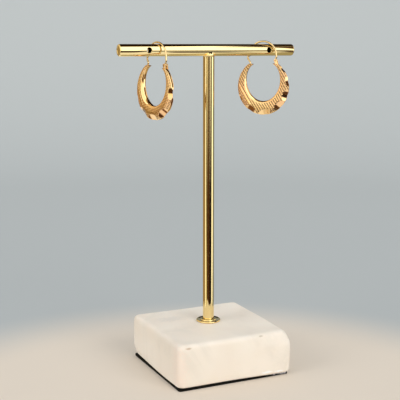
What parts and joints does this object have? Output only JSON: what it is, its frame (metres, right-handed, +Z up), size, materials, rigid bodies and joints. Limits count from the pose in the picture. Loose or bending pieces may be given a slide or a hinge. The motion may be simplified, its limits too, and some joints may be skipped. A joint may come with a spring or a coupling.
{
  "type": "pair of hoop earrings on a t-bar stand",
  "caption": "Hollow crescent creole hoop earrings with hinged ear wires, hanging on a brass t-bar display stand with a square marble foot.",
  "frame": {"origin": "middle of the underside, under the middle of the crossbar and half way along the foot's depth", "axes": "+X along the crossbar to the right, +Y from the front to the back, +Z up the post"},
  "size_m": [0.0814, 0.0504, 0.1404],
  "materials": {
    "black_rubber": "matt black foam rubber",
    "white_marble": "honed creamy white marble with faint grey veins",
    "polished_brass": "polished, lacquered yellow brass",
    "gold": "warm nine carat gold, polished and diamond cut"
  },
  "bodies": {
    "stand": {"base_pad": "black_rubber", "marble_base": "white_marble", "foot_flange": "polished_brass", "t_bar": "polished_brass", "hoop_left": "gold", "hinge_pin_left": "gold", "hoop_right": "gold", "hinge_pin_right": "gold"},
    "left_wire": {"ear_wire_left": "gold"},
    "right_wire": {"ear_wire_right": "gold"}
  },
  "joints": [
    {"name": "left_wire_hinge", "type": "hinge", "parent": "stand", "child": "left_wire", "pos_m": [-0.02175, -0.00227, 0.13042], "axis": [0.9568, 0.2907, 0], "range_deg": [0, 80]},
    {"name": "right_wire_hinge", "type": "hinge", "parent": "stand", "child": "right_wire", "pos_m": [0.03018, -0.00105, 0.13198], "axis": [0.6561, 0.7547, 0], "range_deg": [0, 80]}
  ]
}
